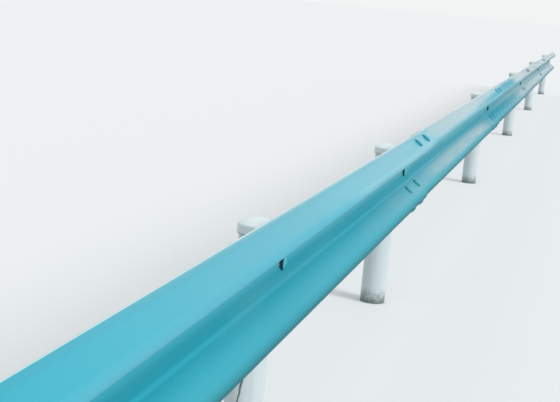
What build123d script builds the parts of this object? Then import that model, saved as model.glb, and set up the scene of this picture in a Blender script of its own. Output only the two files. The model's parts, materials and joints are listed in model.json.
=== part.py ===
"""Highway guardrail section: five lapped W beams bolted to seven capped round posts.

Frame, in millimetres: X along the rail, the road side at -Y, Z up, and the
origin on the ground in the middle of the foot of the first post.
"""
import math
import os

from build123d import *

# Run of the rail
SPLICE_PITCH = 4000.0
PANEL_COUNT = 5
HALF_BAY_POSTS = (2000.0,)
BEAM_CENTRE_HEIGHT = 520.0

# Section of the W beam
SHEET = 3.0
BEAM_DEPTH = 85.0
CREST_SPACING = 193.0
FLANGE_HEIGHT = 58.5
INNER_RADIUS = 24.0
VALLEY_HALF_FLAT = 12.5
LIP_LENGTH = 14.0
LIP_DEG = 10.0
LIP_RADIUS = 10.0

# Bolts, nuts and washers, and the room that holes leave round a bolt
BOLT_DIAMETER = 16.0
BOLT_HEAD_DIAMETER = 36.0
BOLT_HEAD_HEIGHT = 9.0
BOLT_HEAD_RIM = 2.0
BOLT_END = 8.0
WASHER_DIAMETER = 34.0
WASHER_THICKNESS = 3.0
NUT_WIDTH = 24.0
NUT_HEIGHT = 14.5
NUT_CHAMFER = 1.2
BOLT_HOLE_ROOM = 2.0
POST_SLOT_ROOM = 4.0
SPLICE_SLOT_ROOM = 6.0
SEAT_CLEARANCE = 0.3

# Lap and bolt slots of a panel
LAP_BEYOND_POST = 160.0
LAP_CLEARANCE = 0.3
SPLICE_COLUMN = 110.0
SPLICE_SLOT_LENGTH = 32.0
POST_SLOT_LENGTH = 64.0

# Post and its cap
POST_DIAMETER = 95.0
POST_WALL = 4.5
POST_ABOVE_BEAM_CENTRE = 82.0
CAP_DIAMETER = 105.0
CAP_WALL = 3.0
CAP_SKIRT = 20.0
CAP_RISE = 18.0
CAP_SHOULDER = 2.5
CAP_EDGE_RADIUS = 5.0
CAP_SEAT_INSET = 1.0
CAP_SEAT_STEP = 1.0

# Saddle bracket between beam and post
BRACKET_HEIGHT = 70.0
BRACKET_PLATE = 4.5
BRACKET_STANDOFF = 12.0
BRACKET_HALF_LENGTH = 90.0
BRACKET_FOOT = 24.0
BRACKET_CUP_DEG = 52.0
BRACKET_BEND = 8.0


def slope_angle():
    """Lean of the slopes off upright: the sheet runs straight from the valley's bend to the crest's."""
    bends_apart_y = BEAM_DEPTH - SHEET - 2 * MEAN_RADIUS
    bends_apart_z = CREST_SPACING / 2 - VALLEY_HALF_FLAT
    bends_apart = math.hypot(bends_apart_y, bends_apart_z)
    return math.atan2(bends_apart_y, bends_apart_z) + math.asin(2 * MEAN_RADIUS / bends_apart)


POST_RADIUS = POST_DIAMETER / 2
POST_TOP = BEAM_CENTRE_HEIGHT + POST_ABOVE_BEAM_CENTRE
BOLT_HOLE = BOLT_DIAMETER + BOLT_HOLE_ROOM
MEAN_RADIUS = INNER_RADIUS + SHEET / 2
TILT = slope_angle()
# Two equal panels laid one in the other touch on their slopes
LAP_OFFSET = (SHEET + LAP_CLEARANCE) / math.cos(TILT)
SKEW_DEG = math.degrees(math.atan2(LAP_OFFSET, SPLICE_PITCH))
VALLEY_BACK_Y = -(POST_RADIUS + BRACKET_STANDOFF)
RIDGE_Y = VALLEY_BACK_Y - BEAM_DEPTH
SHEET_CUT = 5 * SHEET
PLATE_CUT = 4 * BRACKET_PLATE


def section_path():
    """Middle line of the sheet as (depth, height, bend radius), from the valley to the upper edge."""
    crest_depth = SHEET / 2 - MEAN_RADIUS * (1 / math.cos(TILT) - 1)
    crest_height = CREST_SPACING / 2
    valley_depth = BEAM_DEPTH - SHEET / 2
    valley_height = VALLEY_HALF_FLAT + MEAN_RADIUS * math.tan(TILT / 2)
    lip = math.radians(LIP_DEG)
    lip_radius = LIP_RADIUS + SHEET / 2
    lip_run = LIP_LENGTH + lip_radius * math.tan((TILT - lip) / 2)
    edge_height = crest_height + FLANGE_HEIGHT
    lip_height = edge_height - lip_run * math.cos(lip)
    lip_depth = crest_depth + (lip_height - crest_height) * math.tan(TILT)
    edge_depth = lip_depth + lip_run * math.sin(lip)
    return [
        (valley_depth, valley_height, MEAN_RADIUS, 1),
        (crest_depth, crest_height, MEAN_RADIUS, -1),
        (lip_depth, lip_height, lip_radius, 1),
        (edge_depth, edge_height, 0.0, 0),
    ]


def full_path():
    """The whole middle line from the lower edge to the upper edge."""
    upper = section_path()
    lower = [(depth, -height, radius, turn) for depth, height, radius, turn in reversed(upper)]
    return lower + upper


def offset_points(points, distance):
    """Mitred offset of a polyline of (depth, height), positive towards the back."""
    result = []
    count = len(points)
    for index in range(count):
        normals = []
        for first, second in ((index - 1, index), (index, index + 1)):
            if first < 0 or second >= count:
                continue
            step_y = points[second][0] - points[first][0]
            step_z = points[second][1] - points[first][1]
            length = math.hypot(step_y, step_z)
            normals.append((step_z / length, -step_y / length))
        normal_y = sum(normal[0] for normal in normals) / len(normals)
        normal_z = sum(normal[1] for normal in normals) / len(normals)
        scale = distance / (normal_y ** 2 + normal_z ** 2)
        result.append((points[index][0] + normal_y * scale, points[index][1] + normal_z * scale))
    return result


def fillet_near(face, targets):
    """Round the corners of a face: targets are (depth, height, radius) of its corners."""
    for depth, height, radius in targets:
        if radius <= 0:
            continue
        corner = min(face.vertices(), key=lambda v: math.hypot(v.X - depth, v.Y - height))
        face = fillet(corner, radius)
    return face


def beam_face():
    """Cross section of the W beam, drawn in XY as (depth, height)."""
    path = full_path()
    middle = [(depth, height) for depth, height, radius, turn in path]
    front = offset_points(middle, -SHEET / 2)
    back = offset_points(middle, SHEET / 2)
    face = make_face(Polyline(*front, *reversed(back), close=True))
    corners = []
    for (depth, height, radius, turn), f_point, b_point in zip(path, front, back):
        corners.append((f_point[0], f_point[1], radius - turn * SHEET / 2 if turn else 0.0))
        corners.append((b_point[0], b_point[1], radius + turn * SHEET / 2 if turn else 0.0))
    return fillet_near(face, corners)


def slope_rows():
    """Bolt rows in the middle of the slopes: (depth, height, which way the slope faces)."""
    valley, crest, lip, edge = section_path()
    inner_low = valley[1] + MEAN_RADIUS * math.tan(TILT / 2) * math.cos(TILT)
    inner_high = crest[1] - MEAN_RADIUS * math.sin(TILT)
    outer_low = crest[1] + MEAN_RADIUS * math.sin(TILT)
    lip_bend = (LIP_RADIUS + SHEET / 2) * math.tan((TILT - math.radians(LIP_DEG)) / 2)
    outer_high = lip[1] - lip_bend * math.cos(TILT)
    rows = []
    for height, facing in (((inner_low + inner_high) / 2, -1), ((outer_low + outer_high) / 2, 1)):
        depth = crest[0] + abs(height - crest[1]) * math.tan(TILT)
        rows.append((depth, height, facing))
        rows.append((depth, -height, -facing))
    return rows


def capsule(length, width, thickness):
    """A slot cutter with its long side along X, cutting along Z."""
    return extrude(SlotOverall(length, width), thickness / 2, both=True)


def beam_panel(has_middle_slot):
    """One panel of sheet with its slots, lying along X from its first splice post."""
    length = SPLICE_PITCH + 2 * LAP_BEYOND_POST
    plane = Plane(origin=(-LAP_BEYOND_POST, RIDGE_Y, BEAM_CENTRE_HEIGHT), x_dir=(0, 1, 0), z_dir=(1, 0, 0))
    panel = extrude(plane * beam_face(), length)
    cutters = []
    splice = capsule(SPLICE_SLOT_LENGTH, BOLT_DIAMETER + SPLICE_SLOT_ROOM, SHEET_CUT)
    for depth, height, facing in slope_rows():
        for post_x in (0.0, SPLICE_PITCH):
            for column in (-SPLICE_COLUMN, SPLICE_COLUMN):
                spot = Pos(post_x + column, RIDGE_Y + depth, BEAM_CENTRE_HEIGHT + height)
                cutters.append(spot * Rot(90 - facing * math.degrees(TILT), 0, 0) * splice)
    post_slot = capsule(POST_SLOT_LENGTH, BOLT_DIAMETER + POST_SLOT_ROOM, SHEET_CUT)
    stations = [0.0, SPLICE_PITCH]
    if has_middle_slot:
        stations.append(HALF_BAY_POSTS[0])
    for post_x in stations:
        spot = Pos(post_x, RIDGE_Y + BEAM_DEPTH - SHEET / 2, BEAM_CENTRE_HEIGHT)
        cutters.append(spot * Rot(90, 0, 0) * post_slot)
    return panel - cutters


def post():
    """Round tube with the through hole for the bolt that holds the beam."""
    outer = Cylinder(POST_RADIUS, POST_TOP, align=(Align.CENTER, Align.CENTER, Align.MIN))
    bore = Cylinder(POST_RADIUS - POST_WALL, POST_TOP, align=(Align.CENTER, Align.CENTER, Align.MIN))
    hole = Pos(0, 0, BEAM_CENTRE_HEIGHT) * Rot(90, 0, 0) * Cylinder(BOLT_HOLE / 2, POST_DIAMETER + POST_WALL)
    return outer - bore - hole


def low_arc(start, top):
    """Arc of a sphere's outline from a rim point up to a point on the axis."""
    rise = top[1] - start[1]
    radius = (start[0] ** 2 + rise ** 2) / (2 * rise)
    middle = start[0] / 2
    return ThreePointArc(start, (middle, top[1] - radius + math.sqrt(radius ** 2 - middle ** 2)), top)


def post_cap():
    """Pressed cap: skirt round the tube, flat seat on its rim and a low dome."""
    rim = CAP_DIAMETER / 2
    bore = rim - CAP_WALL
    seat = POST_RADIUS - POST_WALL - CAP_SEAT_INSET
    outline = [
        Line((rim, -CAP_SKIRT), (rim, CAP_SHOULDER)),
        low_arc((rim, CAP_SHOULDER), (0, CAP_RISE)),
        Line((0, CAP_RISE), (0, CAP_RISE - CAP_WALL)),
        low_arc((seat, CAP_SEAT_STEP), (0, CAP_RISE - CAP_WALL)),
        Line((seat, CAP_SEAT_STEP), (seat, 0)),
        Line((seat, 0), (bore, 0)),
        Line((bore, 0), (bore, -CAP_SKIRT)),
        Line((bore, -CAP_SKIRT), (rim, -CAP_SKIRT)),
    ]
    face = make_face(outline)
    face = fillet_near(face, [(rim, CAP_SHOULDER, CAP_EDGE_RADIUS)])
    return Pos(0, 0, POST_TOP) * revolve(Plane.XZ * face, Axis.Z)


def bracket_middle_line():
    """Middle line of the bracket in plan: foot, leg, cup round the post, leg, foot."""
    cup = POST_RADIUS + SEAT_CLEARANCE + BRACKET_PLATE / 2
    angle = math.radians(BRACKET_CUP_DEG)
    foot_y = VALLEY_BACK_Y + SEAT_CLEARANCE + BRACKET_PLATE / 2
    end_x = cup * math.sin(angle)
    end_y = -cup * math.cos(angle)
    knee_x = BRACKET_HALF_LENGTH - BRACKET_FOOT
    with BuildLine() as middle:
        Polyline((-BRACKET_HALF_LENGTH, foot_y), (-knee_x, foot_y), (-end_x, end_y))
        ThreePointArc((-end_x, end_y), (0, -cup), (end_x, end_y))
        Polyline((end_x, end_y), (knee_x, foot_y), (BRACKET_HALF_LENGTH, foot_y))
        corners = middle.vertices().filter_by(lambda v: abs(v.X) < BRACKET_HALF_LENGTH - BRACKET_FOOT / 2)
        fillet(corners, BRACKET_BEND)
    return middle.wire()


def post_bracket():
    """Omega shaped plate: its cup takes the round post and its feet lie on the back of the beam."""
    middle = bracket_middle_line()
    front = middle.offset_2d(BRACKET_PLATE / 2, Kind.ARC, Side.LEFT, closed=False)
    back = middle.offset_2d(BRACKET_PLATE / 2, Kind.ARC, Side.RIGHT, closed=False)
    edges = list(front.edges()) + list(back.edges())
    for end in (0, 1):
        edges.append(Edge.make_line(front @ end, min((back @ 0, back @ 1), key=lambda p: (p - front @ end).length)))
    plan = make_face(Wire.combine(edges)[0])
    plate = extrude(plan, BRACKET_HEIGHT / 2, both=True)
    hole = Pos(0, -POST_RADIUS, 0) * Rot(90, 0, 0) * Cylinder(BOLT_HOLE / 2, PLATE_CUT)
    return Pos(0, 0, BEAM_CENTRE_HEIGHT) * (plate - hole)


def head_seat():
    """How far the flat of a bolt head stays off the valley floor, where it is wider than the flat."""
    past_flat = max(BOLT_HEAD_DIAMETER / 2 - VALLEY_HALF_FLAT, 0)
    return INNER_RADIUS - math.sqrt(INNER_RADIUS ** 2 - past_flat ** 2) + SEAT_CLEARANCE


def post_bolt(sheets_in_front):
    """Through bolt with its washer and nut, the head in the valley of a beam."""
    head_at = -VALLEY_BACK_Y + SHEET + head_seat() + sheets_in_front * LAP_OFFSET
    washer_at = -(POST_RADIUS + SEAT_CLEARANCE)
    nut_at = washer_at - WASHER_THICKNESS
    end_at = nut_at - NUT_HEIGHT - BOLT_END
    head_radius = BOLT_HEAD_DIAMETER / 2
    outline = [
        Line((0, 0), (head_radius, 0)),
        Line((head_radius, 0), (head_radius, BOLT_HEAD_RIM)),
        low_arc((head_radius, BOLT_HEAD_RIM), (0, BOLT_HEAD_HEIGHT)),
        Line((0, BOLT_HEAD_HEIGHT), (0, 0)),
    ]
    head = Pos(0, 0, head_at) * revolve(Plane.XZ * make_face(outline), Axis.Z)
    down = (Align.CENTER, Align.CENTER, Align.MAX)
    shank = Pos(0, 0, head_at) * Cylinder(BOLT_DIAMETER / 2, head_at - end_at, align=down)
    washer = Pos(0, 0, washer_at) * Cylinder(WASHER_DIAMETER / 2, WASHER_THICKNESS, align=down)
    hexagon = extrude(RegularPolygon(NUT_WIDTH / 2, 6, major_radius=False), -NUT_HEIGHT)
    corner_circle = Cylinder(NUT_WIDTH / math.sqrt(3), NUT_HEIGHT, align=down)
    rounded = chamfer(corner_circle.edges().filter_by(GeomType.CIRCLE), NUT_CHAMFER)
    nut = Pos(0, 0, nut_at) * (hexagon & rounded)
    return Pos(0, 0, BEAM_CENTRE_HEIGHT) * Rot(90, 0, 0) * (head + shank + washer + nut)


def splice_stations():
    """X of the posts that carry a splice."""
    return [index * SPLICE_PITCH for index in range(PANEL_COUNT + 1)]


def panel_index(station):
    """Which panel lies on the bracket of the post at this station."""
    return min(int(station // SPLICE_PITCH), PANEL_COUNT - 1)


def post_shift(station):
    """Place of a post along Y, so that it follows the back of the panel that it holds."""
    return -LAP_OFFSET * (station / SPLICE_PITCH - panel_index(station))


def is_lapped(station):
    """Whether the end of the panel before lies over the start of the next at this station."""
    return station == panel_index(station) * SPLICE_PITCH and station > 0


def build():
    """All pieces in their places, as a list of (name, solid)."""
    pieces = []
    plain_panel = beam_panel(False)
    half_bay_panel = beam_panel(True)
    for index, start in enumerate(splice_stations()[:-1]):
        carries_half_bay = any(start < x < start + SPLICE_PITCH for x in HALF_BAY_POSTS)
        shape = half_bay_panel if carries_half_bay else plain_panel
        pieces.append((f"beam_panel_{index + 1}", Pos(start, 0, 0) * Rot(0, 0, -SKEW_DEG) * shape))
    tube = post()
    cap = post_cap()
    bracket = post_bracket()
    bolts = {False: post_bolt(0), True: post_bolt(1)}
    stations = sorted(splice_stations() + list(HALF_BAY_POSTS))
    for index, station in enumerate(stations):
        place = Pos(station, post_shift(station), 0)
        pieces.append((f"post_{index + 1}", place * tube))
        pieces.append((f"post_cap_{index + 1}", place * cap))
        pieces.append((f"post_bracket_{index + 1}", place * bracket))
        pieces.append((f"post_bolt_{index + 1}", place * bolts[is_lapped(station)]))
    return pieces


def main():
    os.makedirs("parts", exist_ok=True)
    for name, shape in build():
        solids = shape.solids()
        if len(solids) != 1:
            raise ValueError(f"{name} is {len(solids)} solids, not one")
        solid = solids[0]
        solid.label = name
        export_step(solid, os.path.join("parts", name + ".step"))


if __name__ == "__main__":
    main()
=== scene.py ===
"""Looks of the highway guardrail section: paint, weathered bolts, splice bolts, floor, light and camera."""
import json
import math
import random

import bpy
from mathutils import Euler, Matrix, Vector

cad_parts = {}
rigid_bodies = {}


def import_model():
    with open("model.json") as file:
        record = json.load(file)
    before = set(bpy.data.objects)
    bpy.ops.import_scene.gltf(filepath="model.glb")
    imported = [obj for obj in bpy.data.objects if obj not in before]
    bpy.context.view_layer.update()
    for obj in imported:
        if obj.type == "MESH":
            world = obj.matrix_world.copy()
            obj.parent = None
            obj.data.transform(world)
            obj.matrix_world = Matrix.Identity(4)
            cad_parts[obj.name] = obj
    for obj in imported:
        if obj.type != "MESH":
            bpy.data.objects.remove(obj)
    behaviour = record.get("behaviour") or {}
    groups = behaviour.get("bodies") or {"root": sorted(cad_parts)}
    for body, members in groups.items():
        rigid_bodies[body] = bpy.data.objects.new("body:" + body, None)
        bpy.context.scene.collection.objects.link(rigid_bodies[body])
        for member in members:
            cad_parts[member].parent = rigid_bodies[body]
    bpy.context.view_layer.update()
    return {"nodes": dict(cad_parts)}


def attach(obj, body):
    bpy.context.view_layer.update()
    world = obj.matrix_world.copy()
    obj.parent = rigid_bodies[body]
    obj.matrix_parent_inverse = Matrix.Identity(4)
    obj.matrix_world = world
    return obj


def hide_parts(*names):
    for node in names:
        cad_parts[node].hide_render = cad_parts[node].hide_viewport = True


MM = 0.001

# The run, as the solids have it
POST_X = (0.0, 2.0, 4.0, 8.0, 12.0, 16.0, 20.0)
LAPPED_POSTS = (3, 4, 5, 6)
PANEL_COUNT = 5
PANEL_PITCH = 4.0
SHEET = 3 * MM
SLOPE = math.radians(54.978)
LAP_OFFSET = 5.75 * MM
PANEL_SKEW = math.atan2(LAP_OFFSET, PANEL_PITCH)
POST_RADIUS = 47.5 * MM
CAP_LOW_Z = 582 * MM
BRACKET_STANDOFF = 12 * MM
BEAM_DEPTH = 85 * MM
BEAM_HEIGHT = 310 * MM
CREST_SPACING = 193 * MM
BEAM_CENTRE_Z = 520 * MM
BEAM_TOP_Z = BEAM_CENTRE_Z + BEAM_HEIGHT / 2
BEAM_LOW_Z = BEAM_CENTRE_Z - BEAM_HEIGHT / 2
UPPER_CREST_Z = BEAM_CENTRE_Z + CREST_SPACING / 2
LOWER_CREST_Z = BEAM_CENTRE_Z - CREST_SPACING / 2
# Where the valley's lower bend runs out into the slope
BEND_END_Z = 484.5 * MM
VALLEY_BACK_Y = -POST_RADIUS - BRACKET_STANDOFF
CREST_Y = VALLEY_BACK_Y - BEAM_DEPTH

# Splice bolts: place of the columns beside the post; rows with their depth behind the crests, their height
# over the beam's middle and which way the slope faces
SPLICE_COLUMN = 110 * MM
SPLICE_ROWS = ((42.5, 54.5, -1), (42.5, -54.5, 1), (24.1, 125.6, 1), (24.1, -125.6, -1))

# Bolts, nuts and washers of size M16, in millimetres
SHANK_RADIUS = 8.0
THREAD_DEPTH = 1.0
THREAD_PITCH = 2.0
THREAD_CREST_INSET = 0.1
HEAD_RADIUS = 18.0
HEAD_HEIGHT = 9.0
HEAD_RIM = 2.0
HEAD_ROUNDING = 0.6
WASHER_RADIUS = 17.0
WASHER_THICKNESS = 3.0
WASHER_ROOM = 0.6
WASHER_EDGE = 0.4
NUT_WIDTH = 24.0
NUT_HEIGHT = 14.5
NUT_CHAMFER = 1.2
BOLT_END = 8.0
SEAT_GAP = 0.3
# A head is wider than the valley's flat, so the bends hold it this far off the floor
VALLEY_SEAT = 0.64

# How finely the turned pieces are drawn, and the seed of the angles that the bolts stand at
TURN_STEPS = 36
DOME_STEPS = 8
MERGE_WITHIN = 0.01 * MM
SMOOTH_BELOW = math.radians(28)
RANDOM_SEED = 7

# Where the looks of the beam's coat change along the run: start and end of each change, in metres from the
# first post. Upper and lower are the halves of the beam.
# Painted highlight on the strip under the top edge
LIP_HIGHLIGHT_GROWS = (0.6, 1.9)
# Painted sheen and highlight on the crest
CREST_SHEEN_STARTS = (2.3, 2.75)
CREST_HIGHLIGHT_EASES = (2.4, 4.0)
CREST_SHEEN_EASES = (3.9, 4.8)
LOWER_SHINE_STARTS = (3.2, 6.3)
UPPER_SHINE_STARTS = (4.65, 5.25)
UPPER_FILM_STARTS = (4.2, 7.2)
LOWER_FILM_STARTS = (7.6, 8.9)
UPPER_FILM_ENDS = (9.9, 10.7)
LOWER_FILM_ENDS = (9.8, 13.2)
# Painted grey reflection on the far panels
FAR_REFLECTION_GROWS = (8.0, 12.5)
# How far the ends of these stretches wander, and how much later the upper film starts per metre of height
RAGGED_ENDS = 1.2
FILM_SLANT = 75.0
# Stone chips on the lower flange: X and Z in metres, size in millimetres
STONE_CHIPS = ((1.641, 0.3817, 4.5), (1.668, 0.3745, 2.5))

# Where the looks of the coat on the bolt heads change, in the same way
# Grime and painted shade on the heads, then the far heads' painted grey reflection
HEAD_GRIME_AND_SHADE_THINS = (4.4, 7.5)
HEAD_GRIME_AND_SHADE_SPREADS = (5.0, 7.5)
HEAD_FAR_REFLECTION_GROWS = (9.0, 12.0)
# Heads on the open slopes stand in front of the first of these, those deep in the valley behind the second
VALLEY_HEAD_Y = (-90 * MM, -76 * MM)

# The run of dirty water on the second post: where it leaves the beam, its lean, how far it wanders and how
# far round the post it is drawn
DIRTY_RUN_AT = (1.953, -0.0079, 0.253)
DIRTY_RUN_LEAN = math.radians(7)
DIRTY_RUN_WANDER = 6 * MM
DIRTY_RUN_REACH = 20 * MM
# How far the top of the splashed soil wanders up and down
SOIL_RAGGED = 90 * MM

# Studio
FLOOR_SIZE = 900.0
SUN_STRENGTH = 1.5
SUN_ANGLE = math.radians(25)
SUN_FROM = Vector((-0.30, -0.85, 0.62))

# The camera that fits the photograph
PICTURE_WIDTH_PX = 560
FOCAL_PX = 1310.5
SENSOR_MM = 36.0
CAMERA_AT = Vector((-0.958, -0.7115, 1.138))
CAMERA_YAW = math.radians(12.677)
CAMERA_PITCH = math.radians(-8.868)
CAMERA_ROLL = math.radians(5.394)
CAMERA_CLIP_END = 1500.0


def linear(hex_colour):
    """Scene colour of an sRGB hex value such as 3FA9BE."""
    channels = []
    for start in (0, 2, 4):
        level = int(hex_colour[start:start + 2], 16) / 255
        channels.append(level / 12.92 if level <= 0.04045 else ((level + 0.055) / 1.055) ** 2.4)
    return (*channels, 1.0)


def add_node(tree, kind, values=None, links=None, **settings):
    """Add a node with its settings, its fixed inputs and what feeds the others; a node feeds with its first
    output."""
    item = tree.nodes.new(kind)
    for name, value in settings.items():
        setattr(item, name, value)
    for socket, value in (values or {}).items():
        item.inputs[socket].default_value = value
    for socket, source in (links or {}).items():
        tree.links.new(getattr(source, "outputs", [source])[0], item.inputs[socket])
    return item


def new_finish(name):
    """A new material with an empty node tree, and that tree."""
    material = bpy.data.materials.new(name)
    material.use_nodes = True
    material.node_tree.nodes.clear()
    return material, material.node_tree


def beam_base_colour(tree, long_way, axes):
    """Turquoise that changes slowly along the rolled sheet, as the coat's thickness and fading vary, and is
    lighter from just under the upper crest to the top, partly chalking and partly painted light for the sky
    the upper faces catch."""
    tone = add_node(tree, "ShaderNodeTexNoise", {"Scale": 1 / (400 * MM), "Detail": 1.0},
                    {"Vector": long_way})
    tone = add_node(tree, "ShaderNodeMapRange", {"From Min": 0.3, "From Max": 0.7}, {"Value": tone})
    deep_and_shaded = add_node(tree, "ShaderNodeMix", {6: linear("12A8BC"), 7: linear("1EB2C6")}, {0: tone},
                         data_type="RGBA").outputs[2]
    # The upper colour is lighter partly from chalking and partly as painted light for the sky
    chalked_and_lit = add_node(tree, "ShaderNodeMix", {6: linear("20ACC3"), 7: linear("30B7CC")}, {0: tone},
                       data_type="RGBA").outputs[2]
    bright = add_node(tree, "ShaderNodeMapRange",
                      {"From Min": UPPER_CREST_Z - 32 * MM, "From Max": UPPER_CREST_Z - 16 * MM},
                      {"Value": axes[2]}, interpolation_type="SMOOTHSTEP")
    return add_node(tree, "ShaderNodeMix", links={0: bright, 6: deep_and_shaded, 7: chalked_and_lit},
                    data_type="RGBA").outputs[2]


def beam_weathering(tree, long_way, axes):
    """How far the coat is washed by rain, dull with road film and shiny, each from 0 to 1."""
    patches = add_node(tree, "ShaderNodeTexNoise", {"Scale": 1 / (130 * MM), "Detail": 1.0},
                       {"Vector": long_way})
    ragged_x = add_node(tree, "ShaderNodeMath", {1: RAGGED_ENDS}, {0: patches, 2: axes[0]},
                        operation="MULTIPLY_ADD")
    upper_half = add_node(tree, "ShaderNodeMath", {1: BEAM_CENTRE_Z}, {0: axes[2]}, operation="GREATER_THAN")
    # Past the first lap spray keeps the faces that look up shiny
    upper_shiny = add_node(tree, "ShaderNodeMapRange",
                           {"From Min": UPPER_SHINE_STARTS[0], "From Max": UPPER_SHINE_STARTS[1]},
                           {"Value": ragged_x}, interpolation_type="SMOOTHSTEP")
    lower_shiny = add_node(tree, "ShaderNodeMapRange",
                           {"From Min": LOWER_SHINE_STARTS[0], "From Max": LOWER_SHINE_STARTS[1],
                            "To Max": 0.8},
                           {"Value": ragged_x}, interpolation_type="SMOOTHSTEP")
    shine = add_node(tree, "ShaderNodeMix", links={0: upper_half, 2: lower_shiny, 3: upper_shiny},
                     data_type="FLOAT")
    # A dull stretch about the fourth post begins at the crest and reaches the top edge about four metres on
    over_crest = add_node(tree, "ShaderNodeMath", {1: UPPER_CREST_Z}, {0: axes[2]}, operation="SUBTRACT")
    over_crest = add_node(tree, "ShaderNodeMath", {1: 0.0}, {0: over_crest}, operation="MAXIMUM")
    slanted_x = add_node(tree, "ShaderNodeMath", {1: -FILM_SLANT}, {0: over_crest, 2: ragged_x},
                         operation="MULTIPLY_ADD")
    upper_dull = add_node(tree, "ShaderNodeMapRange",
                          {"From Min": UPPER_FILM_STARTS[0], "From Max": UPPER_FILM_STARTS[1]},
                          {"Value": slanted_x}, interpolation_type="SMOOTHSTEP")
    lower_dull = add_node(tree, "ShaderNodeMapRange",
                          {"From Min": LOWER_FILM_STARTS[0], "From Max": LOWER_FILM_STARTS[1]},
                          {"Value": ragged_x}, interpolation_type="SMOOTHSTEP")
    dull_from = add_node(tree, "ShaderNodeMix", links={0: upper_half, 2: lower_dull, 3: upper_dull},
                         data_type="FLOAT")
    upper_end = add_node(tree, "ShaderNodeMapRange",
                         {"From Min": UPPER_FILM_ENDS[0], "From Max": UPPER_FILM_ENDS[1]},
                         {"Value": ragged_x}, interpolation_type="SMOOTHSTEP")
    lower_end = add_node(tree, "ShaderNodeMapRange",
                         {"From Min": LOWER_FILM_ENDS[0], "From Max": LOWER_FILM_ENDS[1]},
                         {"Value": ragged_x}, interpolation_type="SMOOTHSTEP")
    dull_to = add_node(tree, "ShaderNodeMix", links={0: upper_half, 2: lower_end, 3: upper_end},
                       data_type="FLOAT")
    dull = add_node(tree, "ShaderNodeMath", links={0: dull_from, 1: dull_to}, operation="SUBTRACT")
    # Its top strip and the crest itself stay clearer
    off_top = add_node(tree, "ShaderNodeMapRange",
                       {"From Min": BEAM_TOP_Z - 24 * MM, "From Max": BEAM_TOP_Z - 7 * MM, "To Min": 1.0,
                        "To Max": 0.3},
                       {"Value": axes[2]}, interpolation_type="SMOOTHSTEP")
    off_crest = add_node(tree, "ShaderNodeMath", {1: UPPER_CREST_Z + 6 * MM}, {0: axes[2]},
                         operation="SUBTRACT")
    off_crest = add_node(tree, "ShaderNodeMath", links={0: off_crest}, operation="ABSOLUTE")
    off_crest = add_node(tree, "ShaderNodeMapRange",
                         {"From Min": 5 * MM, "From Max": 13 * MM, "To Min": 0.5, "To Max": 1.0},
                         {"Value": off_crest}, interpolation_type="SMOOTHSTEP")
    for share in (off_top, off_crest):
        dull = add_node(tree, "ShaderNodeMath", links={0: dull, 1: share}, operation="MULTIPLY")
    # Rain washes the top flange, but for that stretch
    washed = add_node(tree, "ShaderNodeMapRange",
                      {"From Min": UPPER_CREST_Z - 4 * MM, "From Max": UPPER_CREST_Z + 22 * MM},
                      {"Value": axes[2]}, interpolation_type="SMOOTHSTEP")
    not_dull = add_node(tree, "ShaderNodeMath", {0: 1.0}, {1: dull}, operation="SUBTRACT")
    washed = add_node(tree, "ShaderNodeMath", links={0: washed, 1: not_dull}, operation="MULTIPLY")
    # The lower slope looks up from over the lower crest to under the valley
    low_slope = add_node(tree, "ShaderNodeMapRange",
                         {"From Min": LOWER_CREST_Z + 15 * MM, "From Max": LOWER_CREST_Z + 30 * MM},
                         {"Value": axes[2]}, interpolation_type="SMOOTHSTEP")
    under_valley = add_node(tree, "ShaderNodeMapRange",
                            {"From Min": BEAM_CENTRE_Z - 48 * MM, "From Max": BEAM_CENTRE_Z - 29 * MM,
                             "To Min": 0.9, "To Max": 0.0},
                            {"Value": axes[2]}, interpolation_type="SMOOTHSTEP")
    low_slope = add_node(tree, "ShaderNodeMath", links={0: low_slope, 1: under_valley}, operation="MULTIPLY")
    looks_up = add_node(tree, "ShaderNodeMath", links={0: low_slope, 1: washed}, operation="MAXIMUM")
    looks_up = add_node(tree, "ShaderNodeMath", {1: 0.15}, {0: looks_up}, operation="MAXIMUM")
    shiny = add_node(tree, "ShaderNodeMath", links={0: shine, 1: dull}, operation="SUBTRACT")
    shiny = add_node(tree, "ShaderNodeMath", links={0: shiny, 1: looks_up}, operation="MULTIPLY")
    return washed, dull, shiny


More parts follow.
